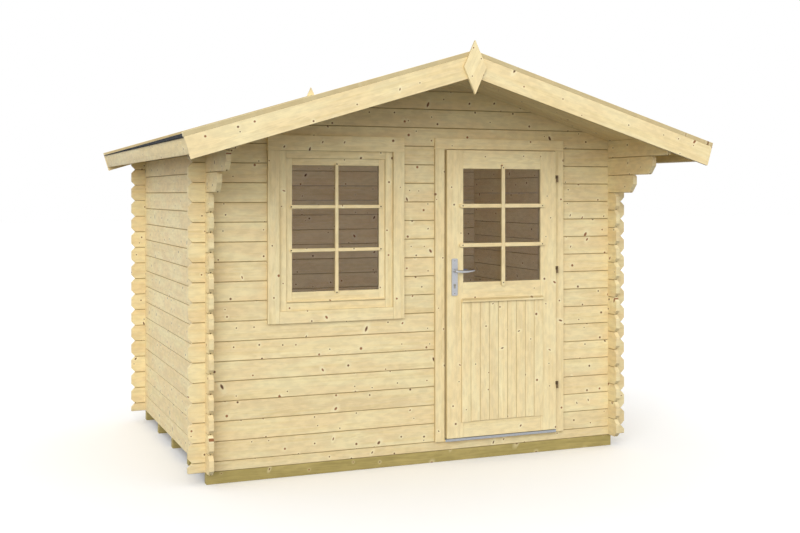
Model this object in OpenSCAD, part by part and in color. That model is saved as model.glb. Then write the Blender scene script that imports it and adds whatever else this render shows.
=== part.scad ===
// Log garden house: crossed-corner plank walls on treated bearers, a felted
// ridge roof with a deep front overhang, one glazed door and one window.
// Millimetres, +Z up, front towards -Y. The origin is on the ground under the
// centre of the whole house, roof included.

/* [Walls] */
// Width over the side walls' outer faces
house_w = 2710; // [2300:10:3400]
// Depth over the front and back walls' outer faces
house_d = 2030; // [1600:10:2600]
// Thickness of a wall log
log_t = 28; // [22:1:40]
// Height that one course of logs takes up
log_h = 114; // [95:1:140]
// Full courses in a side wall
side_courses = 17; // [15:1:20]
// Courses of logs in a gable
gable_courses = 4; // [3:1:5]
// Length that a log runs on past the crossing
log_end = 98; // [60:1:130]
// Length of the cut corner at a log's end
end_cut_l = 26; // [10:1:40]
// Height of the cut corner at a log's end
end_cut_h = 27; // [10:1:30]
// Height of the chamfer along a log's long edges, which makes the V joint
v_joint = 3.5; // [1:0.5:6]
// Depth of that chamfer
v_depth = 6; // [1:0.5:7]
// Width of the groove in a log's underside
groove_w = 7; // [3:0.5:8]
// Depth of the groove in a log's underside
groove_d = 8; // [3:0.5:10]
// Air between two logs that lie on each other
log_gap = 0.4; // [0.2:0.1:0.8]

/* [Brackets] */
// Reach of the lowest bracket log past the front wall
bracket_low = 292; // [150:1:320]
// Reach of the middle bracket log past the front wall
bracket_mid = 500; // [330:1:560]
// Setback of the top side logs from the front barge boards
top_log_back = 40; // [1:1:120]
// Length of the cut corner under a bracket's end
bracket_cut_l = 48; // [10:1:80]
// Height of the cut corner under a bracket's end
bracket_cut_h = 54; // [10:1:70]
// Size of the small cut corner over a bracket's end
bracket_top_cut = 12; // [4:1:20]

/* [Base] */
// Height of a bearer
bearer_h = 70; // [45:1:90]
// Width of a bearer
bearer_w = 45; // [36:1:70]
// Bearers across the depth
bearer_count = 5; // [3:1:7]
// Setback of a bearer's ends from the side walls' outer faces
bearer_setback = 6; // [0:1:30]
// Thickness of the floor boards
floor_t = 18; // [15:1:28]
// Gap between the floor and the walls
floor_gap = 0.6; // [0.3:0.1:0.8]

/* [Roof] */
// Depth of the roof plane under the top of the side logs, at their outer face
eave_cut = 9; // [5:1:25]
// Reach of the roof past the front wall, to the barge boards' front face
roof_front = 706; // [600:1:900]
// Reach of the roof past the back wall, to the barge boards' back face
roof_back = 220; // [150:1:400]
// Reach of the roof past the side walls, along the slope
eave_reach = 268; // [150:1:400]
// Thickness of the roof boards
deck_t = 21; // [16:1:28]
// Thickness of the felt
felt_t = 4; // [2:1:6]
// Length that the felt hangs over the eave board
felt_lip = 6; // [2:1:12]
// Thickness of barge boards, eave boards and finials
fascia_t = 18; // [12:1:28]
// Height of a barge board, square to the slope
barge_h = 119; // [90:1:150]
// Height of an eave board, square to the slope
eave_board_h = 89; // [60:1:120]
// Setback of an eave board from the barge boards' ends
eave_setback = 3; // [0:1:10]
// Thickness of the cap strips on the front barge boards
cap_t = 25; // [16:1:36]
// Thickness of the cap strips on the back barge boards
back_cap_t = 18; // [12:1:28]
// Width of the cap strips
cap_w = 36; // [30:1:60]
// Height of a finial
finial_h = 302; // [220:1:380]
// Width of a finial
finial_w = 138; // [100:1:180]
// Height of a finial's middle under the roof's underside at the ridge
finial_drop = 45; // [20:1:80]
// Width of the ridge beam
ridge_w = 45; // [36:1:70]

/* [Door] */
// Place of the door's middle, from the left wall's outer face
door_x = 1880; // [1700:1:1900]
// Width of the door leaf
leaf_w = 770; // [640:1:880]
// Thickness of the door leaf
leaf_t = 38; // [32:1:45]
// Clearance round the leaf
leaf_gap = 6; // [5:0.5:8]
// Overlap of the leaf on its frame
leaf_lap = 20; // [12:1:25]
// Width of the door stile that carries the lock
stile_w = 110; // [105:1:140]
// Width of the door stile that carries the hinges
hinge_stile_w = 115; // [105:1:140]
// Height of the door's top rail
top_rail_h = 115; // [90:1:150]
// Height of the door's lock rail
lock_rail_h = 123; // [80:1:150]
// Height of the door's bottom rail
bottom_rail_h = 111; // [80:1:150]
// Height of the lock rail's underside above the leaf's bottom edge
lock_rail_z = 839; // [760:1:920]
// Thickness of a door frame member
jamb_t = 36; // [28:1:45]
// Room for the logs to settle over the door frame
settle_gap = 5; // [4:1:20]
// Thickness of the lower panel
panel_t = 19; // [12:1:24]
// Lap of the lower panel over the stiles and rails
panel_lap = 14; // [4:1:16]
// Height by which the lower panel stands proud of the leaf
panel_proud = 9; // [2:1:10]
// Height of the drip strip over the lower panel
drip_h = 24; // [12:1:26]
// Depth of the drip strip
drip_d = 22; // [10:1:24]
// Reach of the drip strip past each side of the lower panel
drip_side = 1; // [0:1:10]
// Height of the threshold over the sill log
threshold_h = 13; // [10:1:30]
// Reach of the threshold past the wall
threshold_d = 30; // [18:1:40]
// Thickness of the threshold's metal plate
plate_t = 2; // [1:0.5:4]

/* [Window] */
// Place of the window's middle, from the left wall's outer face
window_x = 791; // [700:1:800]
// Width of the window frame over all
window_w = 747; // [600:1:760]
// Courses under the window
window_course = 7; // [5:1:9]
// Width of the frame's sides
window_side = 61; // [45:1:75]
// Height of the frame's head
window_head = 61; // [45:1:75]
// Height of the frame's sill
window_sill = 92; // [60:1:110]
// Room for the logs to settle over the window frame
window_settle = 22; // [8:1:30]
// Setback of the sash from the wall's outer face
sash_setback = 10; // [4:1:16]
// Depth of the sash
sash_d = 28; // [22:1:40]
// Width of the sash's sides
sash_side = 38; // [28:1:55]
// Height of the sash's top
sash_top = 40; // [28:1:55]
// Height of the sash's bottom
sash_bottom = 63; // [45:1:90]
// Height of the drip bead under the sash
bead_h = 13; // [8:1:20]
// Depth of the drip bead
bead_d = 14; // [8:1:18]

/* [Trim and glass] */
// Thickness of the trim boards
trim_t = 20; // [12:1:22]
// Height of the door and window trim over the head joint of the logs
trim_rise = 52; // [30:1:70]
// Width of the window's side and bottom trim
trim_w = 72; // [60:1:90]
// Height of the window's top trim
trim_top_h = 90; // [80:1:110]
// Lap of the window trim over its frame
trim_lap = 16; // [8:1:24]
// Depth of the window's bottom trim under the sill joint
trim_drop = 25; // [10:1:40]
// Width of the door trim's side boards
door_trim_w = 63; // [45:1:80]
// Thickness of the glass
glass_t = 4; // [3:1:8]
// Depth of the groove that holds the glass
glass_groove = 7; // [4:1:10]
// Air between pieces that are fixed to each other
joint_gap = 0.3; // [0.2:0.1:0.6]

/* [Hinges] */
// Heights of the hinges above the leaf's bottom edge
hinge_z = [287, 1025, 1607];
// Height of one hinge
hinge_h = 44; // [36:1:60]
// Radius of a hinge knuckle
knuckle_r = 7; // [6:0.5:8]
// Radius of a hinge pin
pin_r = 3.5; // [2.5:0.5:4]
// Clearance round a hinge pin
pin_gap = 0.1; // [0.05:0.05:0.2]
// Distance from the leaf's edge to the hinge axis
hinge_out = 4.5; // [4:0.5:5]
// Distance from the leaf's face to the hinge axis
hinge_off = 6; // [5.5:0.5:8]

/* [Handle] */
// Distance from the leaf's free edge to the handle
backset = 48; // [44:1:70]
// Height of the handle above the leaf's bottom edge
handle_z = 1034; // [950:1:1060]
// Distance from the handle down to the keyhole
key_drop = 87; // [72:1:92]
// Height of a handle plate
plate_h = 229; // [200:1:250]
// Width of a handle plate
plate_w = 40; // [34:1:44]
// Thickness of a handle plate
plate_d = 8; // [6:0.5:12]
// Height of the handle above the plate's lower edge
plate_low = 152; // [130:1:160]
// Radius of a handle plate's corners
plate_corner = 8; // [3:1:16]
// Length of the lever from its axis
lever_l = 128; // [100:1:130]
// Radius of the lever and its neck
lever_r = 9; // [7:0.5:10]
// Distance from the plate to the lever's middle
lever_out = 42; // [34:1:50]
// Radius of the spindle through the door
spindle_r = 5; // [4:0.5:6]
// Radius of the lock cylinder's round part
key_r = 8.5; // [7:0.5:9]
// Depth of the lock cylinder under its round part's middle
key_low = 20; // [15:1:24]
// Reach of the lock cylinder past the plates
key_proud = 2; // [1:0.5:3]

/* [Hidden] */

// Walls: left, right, front and back outer faces
x_left = -house_w / 2;
x_right = house_w / 2;
y_front = (roof_front - roof_back - house_d) / 2;
y_back = y_front + house_d;
z_log = bearer_h;

// Courses: side logs start on whole courses, front and back logs on halves
head_z = z_log + (side_courses - 0.5) * log_h;
apex_z = z_log + (side_courses + gable_courses - 0.5) * log_h;
eave_z = z_log + side_courses * log_h - eave_cut;
slope = atan((apex_z - eave_z) / (house_w / 2));
run = house_w / 2 / cos(slope) + eave_reach;

// Roof ends
y_roof_front = y_front - roof_front;
y_roof_back = y_back + roof_back;
y_deck_front = y_roof_front + fascia_t;
y_deck_back = y_roof_back - fascia_t;

// Door
door_c = x_left + door_x;
leaf_x0 = door_c - leaf_w / 2;
leaf_x1 = door_c + leaf_w / 2;
leaf_y1 = y_front - leaf_gap;
leaf_y0 = leaf_y1 - leaf_t;
sill_z = z_log + log_h / 2;
threshold_z = sill_z + threshold_h + plate_t;
leaf_z0 = threshold_z + leaf_gap;
frame_head_z = head_z - settle_gap;
leaf_z1 = frame_head_z - jamb_t + leaf_lap;
opening_x0 = leaf_x0 + leaf_lap - jamb_t;
opening_x1 = leaf_x1 - leaf_lap + jamb_t;
glass_z0 = leaf_z0 + lock_rail_z + lock_rail_h;
glass_z1 = leaf_z1 - top_rail_h;
leaf_mid_y = (leaf_y0 + leaf_y1) / 2;

// Window
win_c = x_left + window_x;
win_x0 = win_c - window_w / 2;
win_x1 = win_c + window_w / 2;
win_z0 = z_log + (window_course + 0.5) * log_h;
win_z1 = head_z - window_settle;
sash_y0 = y_front + sash_setback;
sash_gap = joint_gap;

// Hinges and handle
hinge_x = leaf_x1 + hinge_out;
hinge_y = leaf_y0 - hinge_off;
handle_x = leaf_x0 + backset;
grip_z = leaf_z0 + handle_z;
key_z = grip_z - key_drop;

$fn = 32;

// ---------- helpers ----------

// A box from its lowest to its highest corner
module box(a, b) {
    translate(a) cube(b - a);
}

// An outline in X and Z, thick along Y from y0 to y1
module slab_xz(y0, y1) {
    translate([0, y1, 0]) rotate([90, 0, 0]) linear_extrude(y1 - y0) children();
}

// An outline in Y and Z, thick along X from x0 to x1
module slab_yz(x0, x1) {
    translate([x0, 0, 0]) rotate([90, 0, 90]) linear_extrude(x1 - x0) children();
}

// Section of a log across its length, with the V joint's chamfers and the groove
module log_section(t0, z0, z1) {
    t1 = t0 + log_t;
    g0 = t0 + (log_t - groove_w) / 2;
    g1 = g0 + groove_w;
    polygon([
        [t0 + v_depth, z0], [g0, z0], [g0, z0 + groove_d], [g1, z0 + groove_d], [g1, z0],
        [t1 - v_depth, z0], [t1, z0 + v_joint], [t1, z1 - v_joint],
        [t1 - v_depth, z1], [t0 + v_depth, z1], [t0, z1 - v_joint], [t0, z0 + v_joint]
    ]);
}

// Length and height of a cut corner, for each kind of log end
uncut = [0, 0];
end_cut = [end_cut_l, end_cut_h];
bracket_cut = [bracket_cut_l, bracket_cut_h];
bracket_top = [bracket_top_cut, bracket_top_cut];

// Side view of a log. cuts gives the cut corners: start low, start high,
// end low, end high.
module log_outline(l0, l1, z0, z1, cuts) {
    function corner(l, z, cut, dl, dz) = cut == uncut ? [[l, z]]
        : dl * dz > 0 ? [[l, z + dz * cut[1]], [l + dl * cut[0], z]]
        : [[l + dl * cut[0], z], [l, z + dz * cut[1]]];
    polygon(concat(
        corner(l0, z0, cuts[0], 1, 1), corner(l1, z0, cuts[2], -1, 1),
        corner(l1, z1, cuts[3], -1, -1), corner(l0, z1, cuts[1], 1, -1)
    ));
}

// Notches over and under a log where it crosses the walls at the places given.
// A crossing keeps the middle half of a course.
module notches(places, middle) {
    keep = log_h / 4 - log_gap / 2;
    for (p = places) {
        translate([p - log_gap, middle + keep]) square([log_t + 2 * log_gap, log_h]);
        translate([p - log_gap, middle - keep - log_h]) square([log_t + 2 * log_gap, log_h]);
    }
}

// A log along X whose course is centred on middle, from z0 to z1
module log_x(x0, x1, y0, z0, z1, cuts, middle) {
    intersection() {
        slab_xz(y0, y0 + log_t) difference() {
            log_outline(x0, x1, z0, z1, cuts);
            notches([x_left, x_right - log_t], middle);
        }
        slab_yz(x0 - 1, x1 + 1) log_section(y0, z0, z1);
    }
}

// A log along Y whose course is centred on middle
module log_y(y0, y1, x0, z0, z1, cuts, middle) {
    intersection() {
        slab_yz(x0, x0 + log_t) difference() {
            log_outline(y0, y1, z0, z1, cuts);
            notches([y_front, y_back - log_t], middle);
        }
        slab_xz(y0 - 1, y1 + 1) log_section(x0, z0, z1);
    }
}

// Everything under the roof boards
module under_roof() {
    far = house_w;
    top = apex_z - joint_gap;
    slab_xz(y_roof_front - 1, y_roof_back + 1) polygon([
        [0, top], [far, top - far * tan(slope)], [far, 0], [-far, 0], [-far, top - far * tan(slope)]
    ]);
}

// A strip along one roof slope: run0 to run1 down the slope from the ridge,
// rise0 to rise1 square to it, side -1 for left and 1 for right. The ridge end
// is cut upright, gap from the middle.
module slope_strip(side, run1, rise0, rise1, gap) {
    x0 = gap / cos(slope);
    function at(r, n) = [side * (r * cos(slope) + n * sin(slope)),
                         apex_z - r * sin(slope) + n * cos(slope)];
    function ridge(n) = [side * x0, apex_z + n / cos(slope) - x0 * tan(slope)];
    polygon([ridge(rise0), at(run1, rise0), at(run1, rise1), ridge(rise1)]);
}

// A wall along X: courses first to last, between x0 and x1, with the cuts of
// its two ends
module courses_x(x0, x1, y0, first, last, start, end) {
    for (n = [first:last]) {
        middle = z_log + n * log_h;
        log_x(x0, x1, y0, middle - log_h / 2 + log_gap / 2, middle + log_h / 2 - log_gap / 2,
              [start, start, end, end], middle);
    }
}

// The half log that starts a front or back wall
module half_log(y0) {
    log_x(x_left - log_end, x_right + log_end, y0, z_log, z_log + log_h / 2 - log_gap / 2,
          [uncut, end_cut, uncut, end_cut], z_log);
}

// One side wall: plain courses, two brackets, and a top log that reaches nearly
// from one barge board to the other
module side_wall(x0) {
    brackets = [bracket_low, bracket_mid];
    for (m = [0:side_courses - 2]) {
        b = m - (side_courses - 3);
        z = z_log + m * log_h;
        reach = b >= 0 ? brackets[b] : log_end;
        low_cut = b >= 0 ? bracket_cut : end_cut;
        top_cut = b >= 0 ? bracket_top : end_cut;
        log_y(y_front - reach, y_back + log_end, x0, z + log_gap / 2, z + log_h - log_gap / 2,
              [low_cut, top_cut, end_cut, end_cut], z + log_h / 2);
    }
    top = z_log + (side_courses - 1) * log_h;
    intersection() {
        log_y(y_deck_front + top_log_back, y_deck_back, x0, top + log_gap / 2, top + log_h,
              [uncut, uncut, uncut, uncut], top + log_h / 2);
        under_roof();
    }
}

// A gable: full courses under the roof, with a seat for the ridge beam
module gable(y0) {
    intersection() {
        difference() {
            courses_x(x_left - log_end, x_right + log_end, y0, side_courses,
                      side_courses + gable_courses - 1, uncut, uncut);
            box([-ridge_w / 2 - joint_gap, y0 - 1, apex_z - log_h - joint_gap],
                [ridge_w / 2 + joint_gap, y0 + log_t + 1, apex_z]);
        }
        under_roof();
    }
}

// ---------- base ----------

module bearers() {
    step = (house_d - bearer_w) / (bearer_count - 1);
    color("#a39355") for (i = [0:bearer_count - 1]) {
        box([x_left + bearer_setback, y_front + i * step, 0],
            [x_right - bearer_setback, y_front + i * step + bearer_w, bearer_h]);
    }
}

module floor() {
    inset = log_t + floor_gap;
    color("#d8c79a")
        box([x_left + inset, y_front + inset, z_log],
            [x_right - inset, y_back - inset, z_log + floor_t]);
}

// ---------- walls ----------

module left_wall() {
    color("#dccb9c") side_wall(x_left);
}

module right_wall() {
    color("#dccb9c") side_wall(x_right - log_t);
}

module back_wall() {
    color("#dccb9c") {
        half_log(y_back - log_t);
        courses_x(x_left - log_end, x_right + log_end, y_back - log_t, 1, side_courses - 1, end_cut, end_cut);
    }
}

module back_gable() {
    color("#dccb9c") gable(y_back - log_t);
}

module front_sill_log() {
    color("#dccb9c") half_log(y_front);
}

// Left of the door: whole courses under the window, short ones on both sides
module front_wall_left() {
    color("#dccb9c") {
        courses_x(x_left - log_end, opening_x0, y_front, 1, window_course, end_cut, uncut);
        courses_x(x_left - log_end, win_x0, y_front, window_course + 1, side_courses - 1,
                  end_cut, uncut);
        courses_x(win_x1, opening_x0, y_front, window_course + 1, side_courses - 1, uncut, uncut);
    }
}

module front_wall_right() {
    color("#dccb9c")
        courses_x(opening_x1, x_right + log_end, y_front, 1, side_courses - 1, uncut, end_cut);
}

module front_gable() {
    color("#dccb9c") gable(y_front);
}

// ---------- roof ----------

module ridge_beam() {
    half = ridge_w / 2;
    top = apex_z - joint_gap;
    side = top - half * tan(slope);
    color("#d8c79a") slab_xz(y_deck_front, y_deck_back) polygon([
        [-half, apex_z - log_h], [half, apex_z - log_h], [half, side], [0, top], [-half, side]
    ]);
}

module roof_deck(side) {
    end = run - eave_setback - fascia_t - joint_gap;
    color("#c9b98c") slab_xz(y_deck_front, y_deck_back) slope_strip(side, end, 0, deck_t, joint_gap / 2);
}

module roof_felt(side) {
    end = run - eave_setback + felt_lip;
    color("#2c2d30") slab_xz(y_deck_front, y_deck_back)
        slope_strip(side, end, deck_t + joint_gap, deck_t + felt_t, joint_gap / 2);
}

// Boards along the eaves, square to the slope, under the felt
module eave_boards() {
    outer = run - eave_setback;
    color("#e2d3a4") for (side = [-1, 1]) {
        slab_xz(y_deck_front, y_deck_back) difference() {
            slope_strip(side, outer, deck_t - eave_board_h, deck_t, joint_gap);
            slope_strip(side, outer - fascia_t, deck_t - eave_board_h - 1, deck_t + 1, 0);
        }
    }
}

module barge_boards(y0) {
    top = deck_t + felt_t;
    color("#e2d3a4") for (side = [-1, 1]) {
        slab_xz(y0, y0 + fascia_t) slope_strip(side, run, top - barge_h, top, joint_gap);
    }
}

module cap_strips(y0, thick) {
    low = deck_t + felt_t;
    color("#e2d3a4") for (side = [-1, 1]) {
        slab_xz(y0, y0 + cap_w) slope_strip(side, run, low + joint_gap, low + thick, joint_gap);
    }
}

module finials() {
    middle = apex_z - finial_drop;
    color("#e2d3a4") for (y = [y_roof_front - fascia_t, y_roof_back]) {
        slab_xz(y, y + fascia_t) polygon([
            [0, middle - finial_h / 2], [finial_w / 2, middle],
            [0, middle + finial_h / 2], [-finial_w / 2, middle]
        ]);
    }
}

// ---------- window ----------

// A pane and its groove, clearance wider all round
module pane(x0, x1, z0, z1, y0, clear) {
    box([x0 - glass_groove - clear, y0 - clear, z0 - glass_groove - clear],
        [x1 + glass_groove + clear, y0 + glass_t + clear, z1 + glass_groove + clear]);
}

// Four members round an opening, sides running through
module frame_members(x0, x1, z0, z1, y0, y1, side, head, sill) {
    box([x0, y0, z0], [x0 + side, y1, z1]);
    box([x1 - side, y0, z0], [x1, y1, z1]);
    box([x0 + side + joint_gap, y0, z1 - head], [x1 - side - joint_gap, y1, z1]);
    box([x0 + side + joint_gap, y0, z0], [x1 - side - joint_gap, y1, z0 + sill]);
}

// Trim round the window at one face of the wall: the top board lies over the
// side boards, the bottom board between them
module window_trim(y0) {
    tx0 = win_x0 + trim_lap - trim_w;
    tx1 = win_x1 - trim_lap + trim_w;
    z_top = head_z + trim_rise;
    z_low = win_z0 - trim_drop;
    box([tx0, y0, z_top - trim_top_h], [tx1, y0 + trim_t, z_top]);
    for (x = [tx0, tx1 - trim_w]) {
        box([x, y0, z_low], [x + trim_w, y0 + trim_t, z_top - trim_top_h - joint_gap]);
    }
    box([tx0 + trim_w + joint_gap, y0, z_low],
        [tx1 - trim_w - joint_gap, y0 + trim_t, z_low + trim_w]);
}

module window_frame() {
    color("#e2d3a4")
        frame_members(win_x0 + joint_gap, win_x1 - joint_gap, win_z0 + joint_gap, win_z1,
                      y_front, y_front + log_t, window_side, window_head, window_sill);
}

// Inner edges of the window frame and of the sash
fx0 = win_x0 + window_side + 2 * joint_gap;
fx1 = win_x1 - window_side - 2 * joint_gap;
fz0 = win_z0 + window_sill + 2 * joint_gap;
fz1 = win_z1 - window_head - joint_gap;
sash_glass_y = sash_y0 + sash_d / 2 - glass_t / 2;

module window_sash() {
    color("#e2d3a4") difference() {
        frame_members(fx0, fx1, fz0, fz1, sash_y0, sash_y0 + sash_d, sash_side, sash_top, sash_bottom);
        pane(fx0 + sash_side, fx1 - sash_side, fz0 + sash_bottom, fz1 - sash_top,
             sash_glass_y, joint_gap);
    }
}

module window_glass() {
    color("#8a7a62", 0.4)
        pane(fx0 + sash_side, fx1 - sash_side, fz0 + sash_bottom, fz1 - sash_top, sash_glass_y, 0);
}

module window_trim_outer() {
    color("#e2d3a4") window_trim(y_front - trim_t);
}

module window_trim_inner() {
    color("#e2d3a4") window_trim(y_front + log_t);
}

module window_drip_bead() {
    color("#e2d3a4")
        slab_yz(fx0 + joint_gap, fx1 - joint_gap) polygon([
            [sash_y0, fz0], [sash_y0 - bead_d, fz0], [sash_y0 - bead_d, fz0 + bead_h / 2],
            [sash_y0, fz0 + bead_h]
        ]);
}

// ---------- door frame ----------

// Trim at one face of the wall: a head board over two side boards
module door_trim(y0) {
    in0 = leaf_x0 - leaf_gap;
    in1 = leaf_x1 + leaf_gap;
    z_top = head_z + trim_rise;
    z_head = leaf_z1 + leaf_gap;
    box([in0 - door_trim_w, y0, z_head], [in1 + door_trim_w, y0 + trim_t, z_top]);
    for (x = [in0 - door_trim_w, in1]) {
        box([x, y0, sill_z], [x + door_trim_w, y0 + trim_t, z_head - joint_gap]);
    }
}

module door_frame() {
    y1 = y_front + log_t;
    z_low = sill_z + joint_gap;
    color("#e2d3a4") {
        for (x = [opening_x0 + joint_gap, opening_x1 - jamb_t]) {
            box([x, y_front, z_low], [x + jamb_t - joint_gap, y1, frame_head_z]);
        }
        box([opening_x0 + jamb_t + joint_gap, y_front, frame_head_z - jamb_t],
            [opening_x1 - jamb_t - joint_gap, y1, frame_head_z]);
    }
}

module door_trim_outer() {
    color("#e2d3a4") door_trim(y_front - trim_t);
}

module door_trim_inner() {
    color("#e2d3a4") door_trim(y_front + log_t);
}

module door_threshold() {
    in0 = leaf_x0 - leaf_gap + joint_gap;
    in1 = leaf_x1 + leaf_gap - joint_gap;
    jamb0 = opening_x0 + jamb_t + joint_gap;
    jamb1 = opening_x1 - jamb_t - joint_gap;
    color("#cdbb8a") {
        box([in0, y_front - threshold_d, sill_z], [in1, y_front - joint_gap, sill_z + threshold_h]);
        box([jamb0, y_front, sill_z + joint_gap], [jamb1, y_front + log_t, sill_z + threshold_h]);
    }
}

// Angle plate over the threshold's front edge
module threshold_plate() {
    in0 = leaf_x0 - leaf_gap + joint_gap;
    in1 = leaf_x1 + leaf_gap - joint_gap;
    y0 = y_front - threshold_d;
    z = sill_z + threshold_h;
    color("#9aa0a8") slab_yz(in0, in1) polygon([
        [y0 - plate_t, sill_z], [y0, sill_z], [y0, z], [y_front - joint_gap, z],
        [y_front - joint_gap, z + plate_t], [y0 - plate_t, z + plate_t]
    ]);
}

// ---------- hinges ----------

half_hinge = (hinge_h - 1) / 2;

// Lower knuckles with their pins, each on an arm from the trim's face
module frame_hinges() {
    color("#5b4a3a") for (z = hinge_z) {
        base = leaf_z0 + z - hinge_h / 2;
        translate([hinge_x, hinge_y, base]) cylinder(h = half_hinge, r = knuckle_r);
        translate([hinge_x, hinge_y, base]) cylinder(h = hinge_h - 4, r = pin_r);
        box([hinge_x + 1, hinge_y, base], [hinge_x + knuckle_r, y_front - trim_t, base + half_hinge]);
    }
}

// Upper knuckles, bored for the pins, each on an arm to the leaf's face
module leaf_hinges() {
    color("#5b4a3a") for (z = hinge_z) {
        base = leaf_z0 + z + hinge_h / 2 - half_hinge;
        difference() {
            union() {
                translate([hinge_x, hinge_y, base]) cylinder(h = half_hinge, r = knuckle_r);
                box([leaf_x1 - 5, hinge_y, base], [hinge_x, leaf_y0, base + half_hinge]);
            }
            translate([hinge_x, hinge_y, base - 1])
                cylinder(h = half_hinge - 3 + 1, r = pin_r + pin_gap);
        }
    }
}

// ---------- door leaf ----------

module spindle_bore() {
    translate([handle_x, leaf_y0 - 1, grip_z]) rotate([-90, 0, 0])
        cylinder(h = leaf_t + 2, r = spindle_r + 1);
}

// Outline of the lock cylinder, clear wider all round
module key_outline(clear) {
    translate([handle_x, key_z]) circle(r = key_r + clear);
    translate([handle_x - key_r * 0.6 - clear, key_z - key_low - clear])
        square([key_r * 1.2 + 2 * clear, key_low + clear]);
}

module door_pane(clear) {
    pane(leaf_x0 + stile_w, leaf_x1 - hinge_stile_w, glass_z0, glass_z1, leaf_mid_y - glass_t / 2, clear);
}

// The lower panel: its front laps over the frame, its body fills the opening
panel_x0 = leaf_x0 + stile_w;
panel_x1 = leaf_x1 - hinge_stile_w;
panel_z0 = leaf_z0 + bottom_rail_h;
panel_z1 = leaf_z0 + lock_rail_z;

module door_stile_left() {
    color("#e2d3a4") difference() {
        box([leaf_x0, leaf_y0, leaf_z0], [leaf_x0 + stile_w - joint_gap, leaf_y1, leaf_z1]);
        door_pane(joint_gap);
        spindle_bore();
        slab_xz(leaf_y0 - 1, leaf_y1 + 1) key_outline(joint_gap);
    }
}

module door_stile_right() {
    color("#e2d3a4") difference() {
        box([leaf_x1 - hinge_stile_w + joint_gap, leaf_y0, leaf_z0], [leaf_x1, leaf_y1, leaf_z1]);
        door_pane(joint_gap);
    }
}

module door_rail(z0, z1) {
    color("#e2d3a4") difference() {
        box([leaf_x0 + stile_w, leaf_y0, z0], [leaf_x1 - hinge_stile_w, leaf_y1, z1]);
        door_pane(joint_gap);
    }
}

module door_top_rail() {
    door_rail(leaf_z1 - top_rail_h, leaf_z1);
}

module door_lock_rail() {
    door_rail(leaf_z0 + lock_rail_z, leaf_z0 + lock_rail_z + lock_rail_h);
}

module door_bottom_rail() {
    door_rail(leaf_z0, leaf_z0 + bottom_rail_h);
}

module door_panel() {
    y0 = leaf_y0 - panel_proud;
    color("#dccb9c") {
        box([panel_x0 - panel_lap, y0, panel_z0 - panel_lap],
            [panel_x1 + panel_lap, leaf_y0, panel_z1]);
        box([panel_x0 + joint_gap, leaf_y0, panel_z0 + joint_gap],
            [panel_x1 - joint_gap, y0 + panel_t, panel_z1 - joint_gap]);
    }
}

// Sloped strip that sheds water over the lower panel
module door_drip_strip() {
    x0 = panel_x0 - panel_lap - drip_side;
    x1 = panel_x1 + panel_lap + drip_side;
    color("#e2d3a4") slab_yz(x0, x1) polygon([
        [leaf_y0, panel_z1 + joint_gap], [leaf_y0 - drip_d, panel_z1 + joint_gap],
        [leaf_y0 - drip_d, panel_z1 + drip_h / 2], [leaf_y0, panel_z1 + drip_h]
    ]);
}

module door_glass() {
    color("#8a7a62", 0.4) door_pane(0);
}

// ---------- handle ----------

// A long plate with round corners, bored for the lever's neck and the key
module handle_plate(y0) {
    low = grip_z - plate_low;
    high = low + plate_h;
    r = plate_corner;
    slab_xz(y0, y0 + plate_d) difference() {
        hull() {
            for (x = [handle_x - plate_w / 2 + r, handle_x + plate_w / 2 - r]) {
                translate([x, low + r]) circle(r = r);
                translate([x, high - r]) circle(r = r);
            }
        }
        translate([handle_x, grip_z]) circle(r = lever_r + joint_gap);
        key_outline(joint_gap);
    }
}

module handle_plates() {
    color("silver") {
        handle_plate(leaf_y0 - plate_d);
        handle_plate(leaf_y1);
    }
}

module lock_cylinder() {
    color("#b9b28f")
        slab_xz(leaf_y0 - plate_d - key_proud, leaf_y1 + plate_d + key_proud) key_outline(0);
}

// One lever: its neck leaves the plate, and its grip points at the hinges
module lever(y_plate, out) {
    y_mid = y_plate + out * lever_out;
    translate([handle_x, y_plate, grip_z]) rotate([out * -90, 0, 0])
        cylinder(h = lever_out, r = lever_r);
    translate([handle_x, y_mid, grip_z]) sphere(r = lever_r);
    translate([handle_x, y_mid, grip_z]) rotate([0, 90, 0])
        cylinder(h = lever_l - lever_r, r = lever_r);
    translate([handle_x + lever_l - lever_r, y_mid, grip_z]) sphere(r = lever_r);
}

module door_handle() {
    color("silver") {
        lever(leaf_y0 - joint_gap, -1);
        lever(leaf_y1 + joint_gap, 1);
        translate([handle_x, leaf_y0 - 2, grip_z]) rotate([-90, 0, 0])
            cylinder(h = leaf_t + 4, r = spindle_r);
    }
}

// ---------- drawing ----------

bearers();
floor();
left_wall();
right_wall();
back_wall();
back_gable();
front_sill_log();
front_wall_left();
front_wall_right();
front_gable();
ridge_beam();
roof_deck(-1);  // roof_deck_left
roof_deck(1);  // roof_deck_right
roof_felt(-1);  // roof_felt_left
roof_felt(1);  // roof_felt_right
eave_boards();
barge_boards(y_roof_front);  // front_barge_boards
barge_boards(y_deck_back);  // back_barge_boards
cap_strips(y_roof_front, cap_t);  // front_cap_strips
cap_strips(y_roof_back - cap_w, back_cap_t);  // back_cap_strips
finials();
window_frame();
window_sash();
window_glass();
window_trim_outer();
window_trim_inner();
window_drip_bead();
door_frame();
door_trim_outer();
door_trim_inner();
door_threshold();
threshold_plate();
frame_hinges();
door_stile_left();
door_stile_right();
door_top_rail();
door_lock_rail();
door_bottom_rail();
door_panel();
door_drip_strip();
door_glass();
leaf_hinges();
handle_plates();
lock_cylinder();
door_handle();
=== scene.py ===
import math

import bmesh
import bpy
from mathutils import Matrix, Vector


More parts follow.
